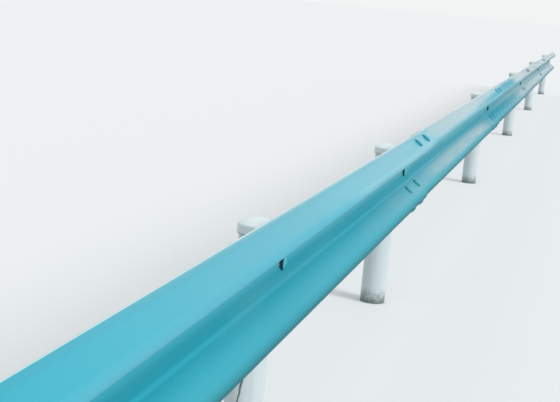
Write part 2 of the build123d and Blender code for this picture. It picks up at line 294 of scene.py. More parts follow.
def beam_crest(tree, axes, colour):
    """A painted highlight runs along the upper crest, the brightest line of the beam; past the second post a
    pale painted sheen lies on and just above it. Returns the colour and how far the crest's painted highlight
    reaches."""
    over_bend = add_node(tree, "ShaderNodeMapRange",
                         {"From Min": UPPER_CREST_Z - 26 * MM, "From Max": UPPER_CREST_Z - 17 * MM},
                         {"Value": axes[2]})
    # Painted highlight along the crest, weaker farther along the run
    crest_highlight = add_node(tree, "ShaderNodeMapRange",
                       {"From Min": UPPER_CREST_Z - 17 * MM, "From Max": UPPER_CREST_Z + 21 * MM,
                        "To Min": 1.0, "To Max": 0.0},
                       {"Value": axes[2]}, interpolation_type="SMOOTHSTEP")
    crest_highlight = add_node(tree, "ShaderNodeMath", links={0: crest_highlight, 1: over_bend}, operation="MULTIPLY")
    crest_highlight_to = add_node(tree, "ShaderNodeMapRange",
                          {"From Min": CREST_HIGHLIGHT_EASES[0], "From Max": CREST_HIGHLIGHT_EASES[1],
                           "To Min": 1.0, "To Max": 0.35},
                          {"Value": axes[0]}, interpolation_type="SMOOTHSTEP")
    crest_highlight = add_node(tree, "ShaderNodeMath", links={0: crest_highlight, 1: crest_highlight_to}, operation="MULTIPLY")
    colour = add_node(tree, "ShaderNodeMix", {7: linear("66CDE6")}, {0: crest_highlight, 6: colour},
                      data_type="RGBA").outputs[2]
    # Pale painted sheen on and just above the crest, from the second post to about the third
    crest_sheen = add_node(tree, "ShaderNodeMapRange",
                        {"From Min": UPPER_CREST_Z + 4 * MM, "From Max": UPPER_CREST_Z + 22 * MM,
                         "To Min": 0.95, "To Max": 0.0},
                        {"Value": axes[2]}, interpolation_type="SMOOTHSTEP")
    crest_sheen_from = add_node(tree, "ShaderNodeMapRange",
                             {"From Min": CREST_SHEEN_STARTS[0], "From Max": CREST_SHEEN_STARTS[1]},
                             {"Value": axes[0]}, interpolation_type="SMOOTHSTEP")
    crest_sheen_to = add_node(tree, "ShaderNodeMapRange",
                           {"From Min": CREST_SHEEN_EASES[0], "From Max": CREST_SHEEN_EASES[1],
                            "To Min": 1.0, "To Max": 0.15},
                           {"Value": axes[0]}, interpolation_type="SMOOTHSTEP")
    for share in (over_bend, crest_sheen_from, crest_sheen_to):
        crest_sheen = add_node(tree, "ShaderNodeMath", links={0: crest_sheen, 1: share}, operation="MULTIPLY")
    colour = add_node(tree, "ShaderNodeMix", {7: linear("7EC9DB")}, {0: crest_sheen, 6: colour},
                      data_type="RGBA").outputs[2]
    return colour, crest_highlight


def beam_ageing(tree, axes, shiny, colour):
    """Painted shade in the valley, a pale painted sheen on the shiny faces, and far panels painted greyer as
    a reflection of grey surroundings. Returns the colour and how far the valley's painted shade reaches."""
    # The far painted reflection reaches the valley first, and the top flange last
    sooner = add_node(tree, "ShaderNodeMapRange",
                      {"From Min": BEND_END_Z - 3 * MM, "From Max": BEND_END_Z + 6 * MM, "To Min": -0.3,
                       "To Max": 1.2},
                      {"Value": axes[2]})
    off_flange = add_node(tree, "ShaderNodeMapRange",
                          {"From Min": UPPER_CREST_Z - 22 * MM, "From Max": UPPER_CREST_Z - 4 * MM,
                           "To Min": 1.0, "To Max": 0.0},
                          {"Value": axes[2]})
    far_reflection_x = add_node(tree, "ShaderNodeMath", links={0: sooner, 1: off_flange, 2: axes[0]},
                        operation="MULTIPLY_ADD")
    far_reflection = add_node(tree, "ShaderNodeMapRange",
                     {"From Min": FAR_REFLECTION_GROWS[0], "From Max": FAR_REFLECTION_GROWS[1], "To Max": 0.85},
                     {"Value": far_reflection_x}, interpolation_type="SMOOTHSTEP")
    # Painted shade under the upper crest, where the valley bends into the lower slope; a line along the end
    # of the bend is left out of it and reads as a painted highlight
    painted_valley_shade = add_node(tree, "ShaderNodeMapRange",
                       {"From Min": BEAM_CENTRE_Z - 20 * MM, "From Max": BEAM_CENTRE_Z + 8 * MM,
                        "To Min": 1.0, "To Max": 0.0},
                       {"Value": axes[2]}, interpolation_type="SMOOTHSTEP")
    thins_down = add_node(tree, "ShaderNodeMapRange",
                          {"From Min": BEAM_CENTRE_Z - 66 * MM, "From Max": BEAM_CENTRE_Z - 24 * MM},
                          {"Value": axes[2]}, interpolation_type="SMOOTHSTEP")
    off_line = add_node(tree, "ShaderNodeMath", {1: BEND_END_Z}, {0: axes[2]}, operation="SUBTRACT")
    off_line = add_node(tree, "ShaderNodeMath", links={0: off_line}, operation="ABSOLUTE")
    off_line = add_node(tree, "ShaderNodeMapRange", {"From Min": 1 * MM, "From Max": 4.5 * MM},
                        {"Value": off_line})
    # There is less of this painted shade where the coat is shiny or carries the far painted reflection
    not_shiny = add_node(tree, "ShaderNodeMath", {0: 1.0}, {1: shiny}, operation="SUBTRACT")
    not_far_reflection = add_node(tree, "ShaderNodeMath", {0: 1.0}, {1: far_reflection}, operation="SUBTRACT")
    for share in (thins_down, off_line, not_shiny, not_far_reflection):
        painted_valley_shade = add_node(tree, "ShaderNodeMath", links={0: painted_valley_shade, 1: share}, operation="MULTIPLY")
    colour = add_node(tree, "ShaderNodeMix", {7: linear("0E98AB")}, {0: painted_valley_shade, 6: colour},
                      data_type="RGBA").outputs[2]
    # A pale painted sheen on the shiny faces
    painted_sheen = add_node(tree, "ShaderNodeMath", {1: 0.38}, {0: shiny}, operation="MULTIPLY")
    colour = add_node(tree, "ShaderNodeMix", {7: linear("ADAAA6")}, {0: painted_sheen, 6: colour},
                      data_type="RGBA").outputs[2]
    # The far panels are painted a greyer blue, paler under the valley: a painted reflection of grey
    # surroundings seen at a grazing angle
    pale_low = add_node(tree, "ShaderNodeMapRange",
                        {"From Min": BEAM_CENTRE_Z - 28 * MM, "From Max": BEAM_CENTRE_Z - 6 * MM,
                         "To Min": 1.0, "To Max": 0.0},
                        {"Value": axes[2]})
    far_reflection_colour = add_node(tree, "ShaderNodeMix", {6: linear("5E909C"), 7: linear("8FB2BC")}, {0: pale_low},
                        data_type="RGBA").outputs[2]
    colour = add_node(tree, "ShaderNodeMix", links={0: far_reflection, 6: colour, 7: far_reflection_colour},
                      data_type="RGBA").outputs[2]
    return colour, painted_valley_shade


def beam_edges(tree, axes, colour):
    """A painted highlight on the cut edge at the top and the strip under it; below, painted shade darkens the
    lower flange and its edge. Returns the colour and how far the lower flange's painted shade reaches."""
    # Painted highlight along the top cut edge, and fainter on the strip under it a little way along the run
    top_edge_highlight = add_node(tree, "ShaderNodeMapRange",
                        {"From Min": BEAM_TOP_Z - 2.2 * MM, "From Max": BEAM_TOP_Z - 0.6 * MM,
                         "To Max": 0.85},
                        {"Value": axes[2]})
    lip_highlight = add_node(tree, "ShaderNodeMapRange",
                          {"From Min": BEAM_TOP_Z - 10 * MM, "From Max": BEAM_TOP_Z - 2 * MM, "To Max": 0.20},
                          {"Value": axes[2]})
    lip_highlight_from = add_node(tree, "ShaderNodeMapRange", {"From Min": LIP_HIGHLIGHT_GROWS[0], "From Max": LIP_HIGHLIGHT_GROWS[1]},
                         {"Value": axes[0]})
    lip_highlight = add_node(tree, "ShaderNodeMath", links={0: lip_highlight, 1: lip_highlight_from}, operation="MULTIPLY")
    top_edge_highlight = add_node(tree, "ShaderNodeMath", links={0: top_edge_highlight, 1: lip_highlight}, operation="MAXIMUM")
    colour = add_node(tree, "ShaderNodeMix", {7: linear("DDF0EE")}, {0: top_edge_highlight, 6: colour},
                      data_type="RGBA").outputs[2]
    # Painted shade on the lower crest and flange, which turn away from the light
    painted_lower_shade = add_node(tree, "ShaderNodeMapRange",
                        {"From Min": LOWER_CREST_Z - 6 * MM, "From Max": LOWER_CREST_Z + 23 * MM,
                         "To Min": 0.85, "To Max": 0.0},
                        {"Value": axes[2]})
    colour = add_node(tree, "ShaderNodeMix", {7: linear("12707D")}, {0: painted_lower_shade, 6: colour},
                      data_type="RGBA").outputs[2]
    # Painted shade along the bottom edge
    painted_low_edge_shade = add_node(tree, "ShaderNodeMapRange",
                        {"From Min": BEAM_LOW_Z + 2.5 * MM, "From Max": BEAM_LOW_Z + 5.5 * MM, "To Min": 0.85,
                         "To Max": 0.0},
                        {"Value": axes[2]})
    colour = add_node(tree, "ShaderNodeMix", {7: linear("154C55")}, {0: painted_low_edge_shade, 6: colour},
                      data_type="RGBA").outputs[2]
    # A stone chip on the lower flange short of the second post, with a smaller one beside it
    along_and_up = add_node(tree, "ShaderNodeCombineXYZ", links={0: axes[0], 2: axes[2]})
    for chip_x, chip_z, size in STONE_CHIPS:
        off_chip = add_node(tree, "ShaderNodeVectorMath", {1: (chip_x, 0, chip_z)}, {0: along_and_up},
                            operation="DISTANCE").outputs["Value"]
        chip = add_node(tree, "ShaderNodeMapRange",
                        {"From Min": 0.5 * size * MM, "From Max": 1.5 * size * MM, "To Min": 0.8,
                         "To Max": 0.0},
                        {"Value": off_chip})
        colour = add_node(tree, "ShaderNodeMix", {7: linear("124650")}, {0: chip, 6: colour},
                          data_type="RGBA").outputs[2]
    return colour, painted_lower_shade


def turquoise_powder_coat():
    """Polyester powder coat on galvanised sheet: clear turquoise, painted greyer along the run as a
    reflection, rain-washed and glossy on the top flange and dull with road film below it; painted highlights
    on the crest and the top edge, and painted shade in the valley, on the lower flange and at the bottom
    edge."""
    material, tree = new_finish("turquoise_powder_coat")
    place = add_node(tree, "ShaderNodeTexCoord").outputs["Object"]
    axes = add_node(tree, "ShaderNodeSeparateXYZ", links={0: place}).outputs
    long_way = add_node(tree, "ShaderNodeMapping", {"Scale": (0.3, 1, 1)}, {"Vector": place})
    washed, dull, shiny = beam_weathering(tree, long_way, axes)
    colour = beam_base_colour(tree, long_way, axes)
    colour, crest_highlight = beam_crest(tree, axes, colour)
    darkened = add_node(tree, "ShaderNodeMath", {1: 0.5}, {0: dull}, operation="MULTIPLY")
    colour = add_node(tree, "ShaderNodeMix", {7: linear("128FA3")}, {0: darkened, 6: colour},
                      data_type="RGBA").outputs[2]
    colour, painted_valley_shade = beam_ageing(tree, axes, shiny, colour)
    # Road film lies in long thin smears, as spray and wind leave it
    smear_way = add_node(tree, "ShaderNodeMapping", {"Scale": (0.05, 1, 1)}, {"Vector": place})
    smears = add_node(tree, "ShaderNodeTexNoise", {"Scale": 1 / (30 * MM), "Detail": 1.5},
                      {"Vector": smear_way})
    film = add_node(tree, "ShaderNodeMapRange", {"From Min": 0.45, "From Max": 0.80, "To Max": 0.15},
                    {"Value": smears}, interpolation_type="SMOOTHSTEP")
    colour = add_node(tree, "ShaderNodeMix", {7: linear("86B4BA")}, {0: film, 6: colour},
                      data_type="RGBA").outputs[2]
    colour, painted_lower_shade = beam_edges(tree, axes, colour)
    # Washed and shiny coat is smooth; film makes it rougher, and so do the painted valley shade, the painted
    # crest highlight and the painted lower-flange shade
    roughness = add_node(tree, "ShaderNodeMapRange", {"To Min": 0.46, "To Max": 0.20}, {"Value": washed})
    roughness = add_node(tree, "ShaderNodeMix", {3: 0.15}, {0: shiny, 2: roughness}, data_type="FLOAT")
    for cover, added in ((film, 0.6), (painted_valley_shade, 0.25), (crest_highlight, 0.20), (painted_lower_shade, 0.30)):
        roughness = add_node(tree, "ShaderNodeMath", {1: added}, {0: cover, 2: roughness},
                             operation="MULTIPLY_ADD")
    # On the dull stretch a band under the valley's bend is a little rougher than the rest
    off_slope = add_node(tree, "ShaderNodeMath", {1: BEND_END_Z - 17 * MM}, {0: axes[2]},
                         operation="SUBTRACT")
    off_slope = add_node(tree, "ShaderNodeMath", links={0: off_slope}, operation="ABSOLUTE")
    off_slope = add_node(tree, "ShaderNodeMapRange",
                         {"From Min": 8 * MM, "From Max": 17 * MM, "To Min": 0.12, "To Max": 0.0},
                         {"Value": off_slope})
    roughness = add_node(tree, "ShaderNodeMath", links={0: dull, 1: off_slope, 2: roughness},
                         operation="MULTIPLY_ADD")
    # Orange peel is about 2 mm in truth, and is drawn coarser so that it shows
    peel = add_node(tree, "ShaderNodeTexNoise", {"Scale": 1 / (6 * MM), "Detail": 0.0}, {"Vector": place})
    raised = add_node(tree, "ShaderNodeBump", {"Strength": 1.0, "Distance": 0.05 * MM}, {"Height": peel})
    shader = add_node(tree, "ShaderNodeBsdfPrincipled", {"IOR": 1.5, "Specular IOR Level": 0.3},
                      {"Base Color": colour, "Roughness": roughness, "Normal": raised})
    add_node(tree, "ShaderNodeOutputMaterial", links={"Surface": shader})
    return material


def dirty_run(tree, place):
    """Where dirty water has run down the second post below the beam, in a line that wanders and thins out."""
    stripe = add_node(tree, "ShaderNodeMapping",
                      {"Location": DIRTY_RUN_AT, "Rotation": (DIRTY_RUN_LEAN, 0, 0)},
                      {"Vector": place}, vector_type="TEXTURE")
    stripe = add_node(tree, "ShaderNodeSeparateXYZ", links={0: stripe}).outputs
    wander = add_node(tree, "ShaderNodeTexNoise", {"Scale": 1 / (14 * MM), "Detail": 3.0}, {"Vector": place})
    aside = add_node(tree, "ShaderNodeMath", {1: DIRTY_RUN_WANDER}, {0: wander, 2: stripe[1]},
                     operation="MULTIPLY_ADD")
    aside = add_node(tree, "ShaderNodeMath", {1: DIRTY_RUN_WANDER / 2}, {0: aside}, operation="SUBTRACT")
    aside = add_node(tree, "ShaderNodeMath", links={0: aside}, operation="ABSOLUTE")
    width = add_node(tree, "ShaderNodeMapRange",
                     {"From Min": -120 * MM, "From Max": 30 * MM, "To Min": 0.9 * MM, "To Max": 6.0 * MM},
                     {"Value": stripe[2]})
    inside = add_node(tree, "ShaderNodeMath", links={0: aside, 1: width}, operation="DIVIDE")
    inside = add_node(tree, "ShaderNodeMapRange",
                      {"From Min": 0.35, "From Max": 1.0, "To Min": 0.92, "To Max": 0.0}, {"Value": inside})
    for edge, side in ((-DIRTY_RUN_REACH, "GREATER_THAN"), (DIRTY_RUN_REACH, "LESS_THAN")):
        near = add_node(tree, "ShaderNodeMath", {1: edge}, {0: stripe[0]}, operation=side)
        inside = add_node(tree, "ShaderNodeMath", links={0: inside, 1: near}, operation="MULTIPLY")
    return inside


def white_post_coat():
    """White powder coat on welded tube: clean and satin, with faint grey rain runs, one dark run of dirty
    water, and soil spattered round the foot."""
    material, tree = new_finish("white_post_coat")
    place = add_node(tree, "ShaderNodeTexCoord").outputs["Object"]
    axes = add_node(tree, "ShaderNodeSeparateXYZ", links={0: place}).outputs
    tone = add_node(tree, "ShaderNodeTexNoise", {"Scale": 1 / (120 * MM), "Detail": 2.0}, {"Vector": place})
    colour = add_node(tree, "ShaderNodeMix", {6: linear("D8E9ED"), 7: linear("E7F2F5")}, {0: tone},
                      data_type="RGBA").outputs[2]
    # Rain runs, about 8 mm apart
    run_way = add_node(tree, "ShaderNodeMapping", {"Scale": (1, 1, 0.05)}, {"Vector": place})
    runs = add_node(tree, "ShaderNodeTexNoise", {"Scale": 1 / (8 * MM), "Detail": 2.0}, {"Vector": run_way})
    runs = add_node(tree, "ShaderNodeMapRange", {"From Min": 0.5, "From Max": 0.85, "To Max": 0.35},
                    {"Value": runs})
    colour = add_node(tree, "ShaderNodeMix", {7: linear("B4C8CA")}, {0: runs, 6: colour},
                      data_type="RGBA").outputs[2]
    # Splashed soil, full at the ground and gone by about a hand's width, with a ragged top
    ragged = add_node(tree, "ShaderNodeTexNoise", {"Scale": 1 / (16 * MM), "Detail": 6.0, "Roughness": 0.7},
                      {"Vector": place})
    height = add_node(tree, "ShaderNodeMath", {1: -SOIL_RAGGED}, {0: ragged, 2: axes[2]},
                      operation="MULTIPLY_ADD")
    soil = add_node(tree, "ShaderNodeMapRange",
                    {"From Min": -40 * MM, "From Max": 12 * MM, "To Min": 0.8, "To Max": 0.0},
                    {"Value": height})
    colour = add_node(tree, "ShaderNodeMix", {7: linear("56615A")}, {0: soil, 6: colour},
                      data_type="RGBA").outputs[2]
    colour = add_node(tree, "ShaderNodeMix", {7: linear("33474A")}, {0: dirty_run(tree, place), 6: colour},
                      data_type="RGBA").outputs[2]
    roughness = add_node(tree, "ShaderNodeMapRange", {"From Max": 0.8, "To Min": 0.40, "To Max": 0.80},
                         {"Value": soil})
    peel = add_node(tree, "ShaderNodeTexNoise", {"Scale": 1 / (5 * MM), "Detail": 0.0}, {"Vector": place})
    raised = add_node(tree, "ShaderNodeBump", {"Strength": 1.0, "Distance": 0.04 * MM}, {"Height": peel})
    shader = add_node(tree, "ShaderNodeBsdfPrincipled", {"IOR": 1.5},
                      {"Base Color": colour, "Roughness": roughness, "Normal": raised})
    add_node(tree, "ShaderNodeOutputMaterial", links={"Surface": shader})
    return material


def white_cap_coat():
    """White powder coat on a pressed cap, clean and shiny on the dome, with painted shade along the skirt's
    lower edge.
    """
    material, tree = new_finish("white_cap_coat")
    place = add_node(tree, "ShaderNodeTexCoord").outputs["Object"]
    axes = add_node(tree, "ShaderNodeSeparateXYZ", links={0: place}).outputs
    tone = add_node(tree, "ShaderNodeTexNoise", {"Scale": 1 / (45 * MM), "Detail": 2.0}, {"Vector": place})
    colour = add_node(tree, "ShaderNodeMix", {6: linear("EAFAFB"), 7: linear("F4FFFF")}, {0: tone},
                      data_type="RGBA").outputs[2]
    specks = add_node(tree, "ShaderNodeTexNoise", {"Scale": 1 / (6 * MM), "Detail": 4.0}, {"Vector": place})
    specks = add_node(tree, "ShaderNodeMapRange", {"From Min": 0.62, "From Max": 0.78, "To Max": 0.35},
                      {"Value": specks})
    colour = add_node(tree, "ShaderNodeMix", {7: linear("A9B9B6")}, {0: specks, 6: colour},
                      data_type="RGBA").outputs[2]
    # Painted shade along the skirt's lower edge
    under = add_node(tree, "ShaderNodeMapRange",
                     {"From Min": CAP_LOW_Z + 0.5 * MM, "From Max": CAP_LOW_Z + 4 * MM, "To Min": 0.7,
                      "To Max": 0.0},
                     {"Value": axes[2]})
    colour = add_node(tree, "ShaderNodeMix", {7: linear("5F8890")}, {0: under, 6: colour},
                      data_type="RGBA").outputs[2]
    peel = add_node(tree, "ShaderNodeTexNoise", {"Scale": 1 / (5 * MM), "Detail": 0.0}, {"Vector": place})
    raised = add_node(tree, "ShaderNodeBump", {"Strength": 1.0, "Distance": 0.04 * MM}, {"Height": peel})
    shader = add_node(tree, "ShaderNodeBsdfPrincipled", {"IOR": 1.5, "Roughness": 0.30},
                      {"Base Color": colour, "Normal": raised})
    add_node(tree, "ShaderNodeOutputMaterial", links={"Surface": shader})
    return material


def turquoise_bracket_coat():
    """The beam's powder coat on bent plate behind it: painted darker for the shade it sits in behind the
    beam, and duller and dusty, as rain never washes it.
    """
    material, tree = new_finish("turquoise_bracket_coat")
    place = add_node(tree, "ShaderNodeTexCoord").outputs["Object"]
    tone = add_node(tree, "ShaderNodeTexNoise", {"Scale": 1 / (40 * MM), "Detail": 2.0}, {"Vector": place})
    colour = add_node(tree, "ShaderNodeMix", {6: linear("1F8296"), 7: linear("2E97AB")}, {0: tone},
                      data_type="RGBA").outputs[2]
    dust = add_node(tree, "ShaderNodeTexNoise", {"Scale": 1 / (10 * MM), "Detail": 4.0}, {"Vector": place})
    dust = add_node(tree, "ShaderNodeMapRange", {"From Min": 0.5, "From Max": 0.75, "To Max": 0.40},
                    {"Value": dust})
    colour = add_node(tree, "ShaderNodeMix", {7: linear("7D9EA0")}, {0: dust, 6: colour},
                      data_type="RGBA").outputs[2]
    roughness = add_node(tree, "ShaderNodeMapRange", {"From Max": 0.4, "To Min": 0.40, "To Max": 0.65},
                         {"Value": dust})
    peel = add_node(tree, "ShaderNodeTexNoise", {"Scale": 1 / (5 * MM), "Detail": 0.0}, {"Vector": place})
    raised = add_node(tree, "ShaderNodeBump", {"Strength": 1.0, "Distance": 0.08 * MM}, {"Height": peel})
    shader = add_node(tree, "ShaderNodeBsdfPrincipled", {"IOR": 1.5},
                      {"Base Color": colour, "Roughness": roughness, "Normal": raised})
    add_node(tree, "ShaderNodeOutputMaterial", links={"Surface": shader})
    return material


def coated_bolt_head():
    """The beam's coat on a button head: turquoise on the crown, black where it meets the sheet, soiled and
    darkened as painted shade.
    """
    material, tree = new_finish("coated_bolt_head")
    place = add_node(tree, "ShaderNodeTexCoord").outputs["Object"]
    axes = add_node(tree, "ShaderNodeSeparateXYZ", links={0: place}).outputs
    tone = add_node(tree, "ShaderNodeTexNoise", {"Scale": 1 / (10 * MM), "Detail": 3.0}, {"Vector": place})
    colour = add_node(tree, "ShaderNodeMix", {6: linear("2FA4BA"), 7: linear("4DBACD")}, {0: tone},
                      data_type="RGBA").outputs[2]
    # The piece's own map holds how far a point is from the bolt's axis, 1 at the edge of the head
    reach = add_node(tree, "ShaderNodeUVMap", uv_map="head_reach")
    reach = add_node(tree, "ShaderNodeSeparateXYZ", links={0: reach})
    ragged = add_node(tree, "ShaderNodeMath", {1: 0.25}, {0: tone, 2: reach}, operation="MULTIPLY_ADD")
    # The dark rim is grime and painted shade; it is thickest on the heads deep in the valley, where it covers
    # more of the crown farther along
    deep = add_node(tree, "ShaderNodeMapRange", {"From Min": VALLEY_HEAD_Y[0], "From Max": VALLEY_HEAD_Y[1]},
                    {"Value": axes[1]})
    spreads = add_node(tree, "ShaderNodeMapRange",
                       {"From Min": HEAD_GRIME_AND_SHADE_SPREADS[0], "From Max": HEAD_GRIME_AND_SHADE_SPREADS[1], "To Max": 0.6},
                       {"Value": axes[0]})
    ragged = add_node(tree, "ShaderNodeMath", links={0: deep, 1: spreads, 2: ragged},
                      operation="MULTIPLY_ADD")
    rim_grime_and_shade = add_node(tree, "ShaderNodeMapRange", {"From Min": 0.87, "From Max": 1.02}, {"Value": ragged})
    grime_and_shade_colour = add_node(tree, "ShaderNodeMix", {6: linear("3A8A98"), 7: linear("08303A")}, {0: deep},
                    data_type="RGBA").outputs[2]
    # On the open slopes it thins along the run, and the far heads carry the beam's painted grey reflection
    thins = add_node(tree, "ShaderNodeMapRange",
                     {"From Min": HEAD_GRIME_AND_SHADE_THINS[0], "From Max": HEAD_GRIME_AND_SHADE_THINS[1], "To Min": 1.0,
                      "To Max": 0.5},
                     {"Value": axes[0]})
    thick = add_node(tree, "ShaderNodeMath", links={0: thins, 1: deep}, operation="MAXIMUM")
    rim_grime_and_shade = add_node(tree, "ShaderNodeMath", links={0: rim_grime_and_shade, 1: thick}, operation="MULTIPLY")
    colour = add_node(tree, "ShaderNodeMix", links={0: rim_grime_and_shade, 6: colour, 7: grime_and_shade_colour},
                      data_type="RGBA").outputs[2]
    open_face = add_node(tree, "ShaderNodeMath", {0: 1.0}, {1: deep}, operation="SUBTRACT")
    far_reflection = add_node(tree, "ShaderNodeMapRange",
                     {"From Min": HEAD_FAR_REFLECTION_GROWS[0], "From Max": HEAD_FAR_REFLECTION_GROWS[1], "To Max": 0.75},
                     {"Value": axes[0]})
    far_reflection = add_node(tree, "ShaderNodeMath", links={0: far_reflection, 1: open_face}, operation="MULTIPLY")
    colour = add_node(tree, "ShaderNodeMix", {7: linear("9DAFB8")}, {0: far_reflection, 6: colour},
                      data_type="RGBA").outputs[2]
    roughness = add_node(tree, "ShaderNodeMapRange", {"To Min": 0.35, "To Max": 0.85}, {"Value": rim_grime_and_shade})
    shader = add_node(tree, "ShaderNodeBsdfPrincipled", {"IOR": 1.5, "Specular IOR Level": 0.35},
                      {"Base Color": colour, "Roughness": roughness})
    add_node(tree, "ShaderNodeOutputMaterial", links={"Surface": shader})
    return material


def weathered_zinc():
    """Galvanised steel gone dull: cloudy grey, with rougher pale bloom and brown spots of first rust."""
    material, tree = new_finish("weathered_zinc")
    place = add_node(tree, "ShaderNodeTexCoord").outputs["Object"]
    cloud = add_node(tree, "ShaderNodeTexNoise", {"Scale": 1 / (8 * MM), "Detail": 4.0}, {"Vector": place})
    cloud = add_node(tree, "ShaderNodeMapRange", {"From Min": 0.35, "From Max": 0.70}, {"Value": cloud})
    colour = add_node(tree, "ShaderNodeMix", {6: linear("6E7577"), 7: linear("A3ABAD")}, {0: cloud},
                      data_type="RGBA").outputs[2]
    rust = add_node(tree, "ShaderNodeTexNoise", {"Scale": 1 / (3 * MM), "Detail": 3.0}, {"Vector": place})
    rust = add_node(tree, "ShaderNodeMapRange", {"From Min": 0.60, "From Max": 0.74, "To Max": 0.4},
                    {"Value": rust})
    colour = add_node(tree, "ShaderNodeMix", {7: linear("55402F")}, {0: rust, 6: colour},
                      data_type="RGBA").outputs[2]
    roughness = add_node(tree, "ShaderNodeMapRange", {"To Min": 0.36, "To Max": 0.55}, {"Value": cloud})
    pits = add_node(tree, "ShaderNodeTexNoise", {"Scale": 1 / (2 * MM), "Detail": 2.0}, {"Vector": place})
    raised = add_node(tree, "ShaderNodeBump", {"Strength": 1.0, "Distance": 0.06 * MM}, {"Height": pits})
    shader = add_node(tree, "ShaderNodeBsdfPrincipled", {"Metallic": 1.0},
                      {"Base Color": colour, "Roughness": roughness, "Normal": raised})
    add_node(tree, "ShaderNodeOutputMaterial", links={"Surface": shader})
    return material


def seen_directly(tree):
    """1 for the camera's rays and for what is mirrored or seen through glass, 0 for light on the object."""
    path = add_node(tree, "ShaderNodeLightPath").outputs
    seen = add_node(tree, "ShaderNodeMath", links={0: path["Is Camera Ray"], 1: path["Is Glossy Ray"]},
                    operation="MAXIMUM")
    return add_node(tree, "ShaderNodeMath", links={0: seen, 1: path["Is Transmission Ray"]},
                    operation="MAXIMUM")


def pale_floor():
    """Plain pale studio floor; it gives back less light to the object than it shows, as ground would."""
    material, tree = new_finish("pale_floor")
    colour = add_node(tree, "ShaderNodeMix", {6: linear("B4B6B4"), 7: linear("F9FAFA")},
                      {0: seen_directly(tree)}, data_type="RGBA").outputs[2]
    shader = add_node(tree, "ShaderNodeBsdfDiffuse", links={"Color": colour})
    add_node(tree, "ShaderNodeOutputMaterial", links={"Surface": shader})
    return material


def select_only(item):
    """Select one object alone and make it active."""
    bpy.ops.object.select_all(action="DESELECT")
    item.select_set(True)
    bpy.context.view_layer.objects.active = item


def turned(name, outline, closed=False):
    """Draw an outline of (radius, height) in mm by extruding one point, then spin it about Z."""
    bpy.ops.mesh.primitive_plane_add(size=1.0)
    item = bpy.context.object
    item.name = name
    select_only(item)
    bpy.ops.object.mode_set(mode="EDIT")
    bpy.ops.mesh.select_mode(type="VERT")
    bpy.ops.mesh.select_all(action="SELECT")
    bpy.ops.mesh.merge(type="CENTER")
    points = [Vector((radius * MM, 0, height * MM)) for radius, height in outline]
    bpy.ops.transform.translate(value=points[0])
    for before, after in zip(points, points[1:]):
        bpy.ops.mesh.extrude_region_move(TRANSFORM_OT_translate={"value": after - before})
    if closed:
        bpy.ops.mesh.extrude_region_move(TRANSFORM_OT_translate={"value": points[0] - points[-1]})
    bpy.ops.mesh.select_all(action="SELECT")
    bpy.ops.mesh.remove_doubles(threshold=MERGE_WITHIN)
    bpy.ops.mesh.spin(steps=TURN_STEPS, angle=2 * math.pi, center=(0, 0, 0), axis=(0, 0, 1))
    bpy.ops.mesh.select_all(action="SELECT")
    bpy.ops.mesh.remove_doubles(threshold=MERGE_WITHIN)
    bpy.ops.mesh.normals_make_consistent(inside=False)
    bpy.ops.object.mode_set(mode="OBJECT")
    return item


def dome(radius, rim, top):
    """Outline of a low dome from the axis down to its rim."""
    rise = top - rim
    ball = (radius ** 2 + rise ** 2) / (2 * rise)
    reach = math.asin(radius / ball)
    points = []
    for step in range(DOME_STEPS + 1):
        angle = reach * step / DOME_STEPS
        points.append((ball * math.sin(angle), top - ball * (1 - math.cos(angle))))
    return points


def bolt_body(name, grip):
    """Button head, shank and threaded end turned in one; the head sits at height 0 and points up."""
    rounding = HEAD_ROUNDING
    outline = dome(HEAD_RADIUS - rounding / 2, HEAD_RIM + rounding / 2, HEAD_HEIGHT)
    outline += [(HEAD_RADIUS, HEAD_RIM), (HEAD_RADIUS, rounding), (HEAD_RADIUS - rounding, 0.0)]
    outline += [(SHANK_RADIUS, 0.0)]
    nut_end = -(grip + WASHER_THICKNESS + NUT_HEIGHT)
    end = nut_end - BOLT_END
    thread_top = nut_end + THREAD_PITCH
    outline.append((SHANK_RADIUS, thread_top))
    turns = int((thread_top - end) / THREAD_PITCH)
    for turn in range(turns):
        height = thread_top - turn * THREAD_PITCH
        outline.append((SHANK_RADIUS - THREAD_DEPTH, height - 0.5 * THREAD_PITCH))
        outline.append((SHANK_RADIUS - THREAD_CREST_INSET, height - 0.9 * THREAD_PITCH))
    outline.append((SHANK_RADIUS - 1.5 * THREAD_DEPTH, end))
    outline.append((0.0, end))
    return turned(name, outline)


def washer_ring(name, seat):
    """Flat washer with broken edges, its upper face at height seat."""
    hole = SHANK_RADIUS + WASHER_ROOM
    low = seat - WASHER_THICKNESS
    outline = [
        (hole, seat),
        (WASHER_RADIUS - WASHER_EDGE, seat),
        (WASHER_RADIUS, seat - WASHER_EDGE),
        (WASHER_RADIUS, low + WASHER_EDGE),
        (WASHER_RADIUS - WASHER_EDGE, low),
        (hole, low),
    ]
    return turned(name, outline, closed=True)


